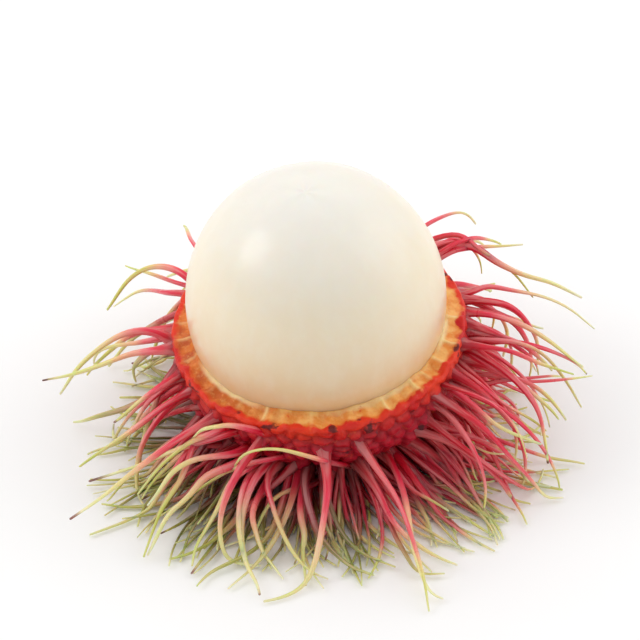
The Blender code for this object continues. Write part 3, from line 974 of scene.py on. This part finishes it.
def make_rind(roots):
    """The rind as a fine mesh: lining, torn edge, and a pebbled skin raised round every hair. Its
    points say how much flesh, lip, rib, foot and crease there is."""
    outline = rind_outline()
    rings = len(outline)
    turns = np.linspace(0, 2 * np.pi, SKIN_TURNS, endpoint=False)
    ring = np.arange(rings)[:, None] + np.zeros((1, SKIN_TURNS))
    over_edge = (ring - LINING_RINGS) / RIM_RINGS
    feet = np.array([tuple(r) for r in roots])
    rib, between = rib_pattern(turns, feet)
    points = rind_points(outline, turns, over_edge, rib, between)

    on_skin = smoothstep(*SKIN_STARTS, over_edge.reshape(-1))
    lift, foot, crease = skin_relief(points, feet, on_skin)
    normal = points / np.array([OUTER_RADIUS**2, OUTER_RADIUS**2, OUTER_HALF_LENGTH**2])
    normal /= np.linalg.norm(normal, axis=1)[:, None]
    points = points + normal * lift[:, None]
    placed = points @ np.array(PLACEMENT.to_3x3()).T + np.array(PLACEMENT.translation)
    placed[:, 2] = np.maximum(placed[:, 2], LOWEST_POINT)

    faces, layout = [], []
    for k in range(rings - 1):
        for j in range(SKIN_TURNS):
            j2 = (j + 1) % SKIN_TURNS
            a, b = k * SKIN_TURNS, (k + 1) * SKIN_TURNS
            faces.append((b + j, b + j2, a + j2, a + j))
            u0, u1 = j / SKIN_TURNS, (j + 1) / SKIN_TURNS
            v0, v1 = k / (rings - 1), (k + 1) / (rings - 1)
            layout.extend([(u0, v1), (u1, v1), (u1, v0), (u0, v0)])
    obj = mesh_object("rind_skin", placed.tolist(), faces)
    set_uv(obj.data, "OFBake", layout)
    fold = range((LINING_RINGS - 1) * SKIN_TURNS, LINING_RINGS * SKIN_TURNS)
    for edge in obj.data.edges:
        edge.use_edge_sharp = edge.vertices[0] in fold and edge.vertices[1] in fold

    torn = BORDER_TORN * uneven(turns, seed=14, waves=60, lowest=5) + BORDER_TORN * rib
    past_border = over_edge - (BORDER_AT + torn)[None, :]
    sides = 0.5 + 0.5 * smoothstep(*LIP_SIDES, np.abs(np.cos(turns)))
    pale = LIP_PALENESS + LIP_PALENESS_VARIES * uneven(turns, seed=33, waves=9, lowest=2)
    pale = np.clip(pale, 0, 1) * sides
    shares = {
        "flesh": 1 - smoothstep(-BORDER_SOFTNESS, BORDER_SOFTNESS, past_border),
        "lip": (1 - smoothstep(*LIP_ENDS, over_edge)) * pale[None, :],
        "ribs": rib[None, :] * (1 - smoothstep(*RIBS_END, over_edge)),
        "foot": foot,
        "crease": crease,
    }
    for name, values in shares.items():
        set_shares(obj.data, name, values.reshape(-1))
    return obj


# The rind's colours. A pair is mottled from its first colour to its second.
SKIN_HIGH = (linear(204, 14, 18), linear(232, 58, 20))
SKIN_LOW = (linear(176, 10, 34), linear(204, 26, 54))
SKIN_FOOT = linear(200, 36, 66)
# Painted shade in the creases between the pebbles.
SKIN_CREASE_SHADE = linear(116, 6, 22)
SKIN_FLECK = linear(236, 76, 60)
SKIN_BRUISE = linear(62, 20, 26)

# The torn edge's colours. A pair is the colour from the middle to the right, then at the left,
# where it is darker as painted shade.
EDGE_PALE = (linear(251, 188, 108), linear(226, 122, 38))
EDGE_DEEP = (linear(236, 146, 60), linear(194, 80, 12))
EDGE_FLECK = linear(253, 204, 128)
EDGE_RIB = linear(255, 222, 156)
EDGE_LIP = linear(255, 220, 162)
EDGE_BLUSH = linear(222, 88, 30)


def rind_material():
    s = Shader("rind")
    where = s.fruit_place()
    flesh, lip, ribs, foot, crease = map(s.share, ("flesh", "lip", "ribs", "foot", "crease"))
    sideways, _, height = s.parts(where)
    broad = s.noise(where, scale=160.0, detail=4)
    fine = s.noise(where, scale=900.0, detail=4)
    speck = s.noise(where, scale=1900.0, detail=3)

    low = s.remap(height, -4.8 * MM, -9.0 * MM)
    mottle = s.remap(broad, 0.35, 0.65)
    red = s.mix(low, s.mix(mottle, *SKIN_HIGH), s.mix(mottle, *SKIN_LOW))
    red = s.mix(s.times(foot, 0.6), red, SKIN_FOOT)
    # Painted shade darkens the creases.
    red = s.mix(s.times(crease, 0.5), red, SKIN_CREASE_SHADE)
    red = s.mix(s.remap(fine, 0.56, 0.74, 0.0, 0.45), red, SKIN_FLECK)
    bruise = s.remap(s.noise(where, scale=380.0, detail=3), 0.62, 0.68)
    red = s.mix(s.times(bruise, 0.85), red, SKIN_BRUISE)

    # Deeper, darker orange towards the left: painted shade.
    shaded = s.remap(sideways, 0.0, -17.0 * MM)
    mottle = s.remap(s.noise(where, scale=520.0, detail=4), 0.38, 0.62)
    orange = s.mix(mottle, s.mix(shaded, *EDGE_DEEP), s.mix(shaded, *EDGE_PALE))
    orange = s.mix(s.remap(speck, 0.5, 0.75, 0.0, 0.35), orange, EDGE_FLECK)
    orange = s.mix(s.times(ribs, 0.8), orange, EDGE_RIB)
    orange = s.mix(s.times(lip, 0.92), orange, EDGE_LIP)
    orange = s.mix(s.remap(flesh, 1.0, 0.5, 0.0, 0.75), orange, EDGE_BLUSH)

    torn = s.around_zero(s.noise(where, scale=620.0, detail=5, roughness=0.62), 2.6)
    border = s.remap(s.math("ADD", flesh, torn), 0.3, 0.7)
    s.set(
        Base_Color=s.mix(border, red, orange),
        Roughness=s.remap(broad, 0.3, 0.7, 0.38, 0.55),
        Subsurface_Weight=0.3,
        Subsurface_Radius=Vector((1.0, 0.45, 0.2)),
        Subsurface_Scale=1.4 * MM,
        Specular_IOR_Level=0.35,
    )
    pores = s.bump(speck, 0.2 * MM, 0.5)
    s.set(Normal=s.bump(fine, 0.35 * MM, 0.5, pores))
    return s.material


# ---------------- flesh ball

BALL_SEGMENTS = 160
BALL_RINGS = 90

# How uneven the ball is, as shares of its radius: oval, and with five faint, twisting lobes.
BALL_OVAL = 0.004
BALL_LOBES = 0.002

# Its colours from low down, under the rim, to the top, as (place, sRGB colour): warmer and
# darker low down as painted shade and painted warm bounce light from the orange rim.
FLESH_LOW, FLESH_HIGH = -4 * MM, 18 * MM
FLESH_COLOURS_WITH_PAINTED_BOUNCE = (
    (0.0, (238, 200, 148)),
    (0.14, (236, 206, 164)),
    (0.3, (238, 216, 181)),
    (0.55, (242, 228, 201)),
    (0.8, (241, 234, 219)),
    (1.0, (238, 235, 227)),
)
FLESH_GRAIN = linear(250, 247, 238)


def make_ball():
    bpy.ops.mesh.primitive_uv_sphere_add(segments=BALL_SEGMENTS, ring_count=BALL_RINGS, radius=1.0)
    ball = bpy.context.active_object
    ball.name = "flesh_ball"
    ball.data.name = "flesh_ball"
    place = np.empty(len(ball.data.vertices) * 3, np.float32)
    ball.data.vertices.foreach_get("co", place)
    place = place.reshape(-1, 3).astype(float)
    x, y, z = place.T
    turn = np.arctan2(y, x)
    swell = BALL_OVAL * np.sin(2 * turn + 0.6) * (1 - z**2)
    swell = swell + BALL_LOBES * np.sin(5 * turn + 3 * z)
    taper = 1 - FLESH_TOP_TAPER * np.maximum(z, 0) ** 2
    shaped = place * (1 + swell)[:, None]
    shaped[:, :2] *= (FLESH_RADIUS * taper)[:, None]
    shaped[:, 2] *= FLESH_HALF_LENGTH
    ball.data.vertices.foreach_set("co", shaped.astype(np.float32).ravel())
    ball.data.update()
    ball.data.shade_smooth()
    ball.data.transform(PLACEMENT)
    return ball


def ball_material():
    s = Shader("flesh")
    where = s.fruit_place()
    x, y, height = s.parts(where)
    cloud = s.noise(where, scale=110.0, detail=3)
    upright = s.join(x, y, s.times(height, 0.6))
    grain = s.noise(upright, scale=500.0, detail=4, roughness=0.6)
    # Colour by height: the ramp paints shade and warm bounce light low down, near the rim.
    lifted = s.math("ADD", height, s.around_zero(cloud, 5 * MM))
    colour = s.ramp(s.remap(lifted, FLESH_LOW, FLESH_HIGH, smooth=False), FLESH_COLOURS_WITH_PAINTED_BOUNCE)
    s.set(
        Base_Color=s.mix(s.remap(grain, 0.35, 0.75, 0.0, 0.14), colour, FLESH_GRAIN),
        Roughness=s.remap(cloud, 0.3, 0.7, 0.28, 0.36),
        Subsurface_Weight=0.5,
        Subsurface_Radius=Vector((1.0, 0.7, 0.45)),
        Subsurface_Scale=4.0 * MM,
        Specular_IOR_Level=0.45,
        Coat_Weight=0.4,
        Coat_Roughness=0.16,
    )
    grain_bump = s.bump(s.noise(where, scale=1300.0, detail=2), 0.05 * MM, 0.3)
    dents = s.noise(where, scale=240.0, detail=2)
    s.set(Normal=s.bump(dents, 0.12 * MM, 0.25, grain_bump))
    return s.material


# ---------------- studio

VIEW_ELEVATION = math.radians(38.0)
VIEW_DISTANCE = 0.55
FRAME_WIDTH = 78 * MM
AIM_FROM_BALL = (0.5 * MM, -2.0 * MM, -1.75 * MM)
CLIP_START = 10 * MM

# The dome: dim in front, bright the other way, and brighter at both sides.
DOME_TOWARDS = (0.0, 0.5, 0.866)
DOME_DIM_AT = -0.2
DOME_DIM = 0.34
DOME_BRIGHT = 1.1
DOME_SIDES = 0.34

FLOOR_SIZE = 4.0
FLOOR_COLOUR = (0.97, 0.97, 0.97)

# The lights: direction, distance and size in metres, and power in watts.
WHITE = (1.0, 1.0, 1.0)
LIGHTS = {
    "key": ((-0.786, -0.05, 0.618), 0.5, 0.25, 0.42),
    "side": ((0.85, 0.1, 0.45), 0.5, 0.45, 0.4),
}


def make_floor():
    bpy.ops.mesh.primitive_plane_add(size=FLOOR_SIZE)
    floor = bpy.context.active_object
    floor.name = "floor"
    s = Shader("floor")
    s.set(Base_Color=FLOOR_COLOUR, Roughness=0.9)
    floor.data.materials.append(s.material)


def make_light(name, direction, distance, size, power):
    light = bpy.data.lights.new(name, "AREA")
    light.shape = "DISK"
    light.size = size
    light.energy = power
    light.color = WHITE
    obj = bpy.data.objects.new(name, light)
    bpy.context.scene.collection.objects.link(obj)
    aim = Vector(direction).normalized()
    obj.location = PLACEMENT.translation + aim * distance
    obj.rotation_mode = "QUATERNION"
    obj.rotation_quaternion = aim.to_track_quat("Z", "Y")


def make_world():
    world = bpy.data.worlds.new("studio")
    world.use_nodes = True
    bpy.context.scene.world = world
    sky = Nodes(world.node_tree)
    direction = sky.nodes.new("ShaderNodeTexCoord").outputs["Generated"]
    towards = sky.nodes.new("ShaderNodeVectorMath")
    towards.operation = "DOT_PRODUCT"
    sky.put(towards.inputs[0], direction)
    sky.put(towards.inputs[1], Vector(DOME_TOWARDS).normalized())
    facing = towards.outputs["Value"]
    strength = sky.remap(facing, DOME_DIM_AT, 1.0, DOME_DIM, DOME_BRIGHT, smooth=False)
    sideways, _, _ = sky.parts(direction)
    beside = sky.times(sky.times(sideways, sideways), DOME_SIDES)
    background = sky.nodes["Background"]
    sky.put(background.inputs["Strength"], sky.math("ADD", beside, strength))
    sky.put(background.inputs["Color"], WHITE)


def make_camera():
    middle = PLACEMENT.translation + Vector(AIM_FROM_BALL)
    back = Vector((0, -math.cos(VIEW_ELEVATION), math.sin(VIEW_ELEVATION)))
    camera = bpy.data.cameras.new("camera")
    camera.lens = camera.sensor_width * VIEW_DISTANCE / FRAME_WIDTH
    camera.clip_start = CLIP_START
    obj = bpy.data.objects.new("camera", camera)
    bpy.context.scene.collection.objects.link(obj)
    obj.location = middle + back * VIEW_DISTANCE
    obj.rotation_mode = "QUATERNION"
    obj.rotation_quaternion = back.to_track_quat("Z", "Y")
    bpy.context.scene.camera = obj


def main():
    make_camera()
    make_floor()
    make_world()
    for name, settings in LIGHTS.items():
        make_light(name, *settings)
    bpy.context.scene.view_settings.view_transform = "Standard"

    ball = make_ball()
    ball.data.materials.append(ball_material())
    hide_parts("flesh")
    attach(ball, "root")

    strands = make_hairs()
    strands.data.materials.append(hair_material())
    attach(strands, "root")

    rind = make_rind([TO_FRUIT @ path[0] for path, _, _ in hairs()])
    rind.data.materials.append(rind_material())
    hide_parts("rind")
    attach(rind, "root")


main()
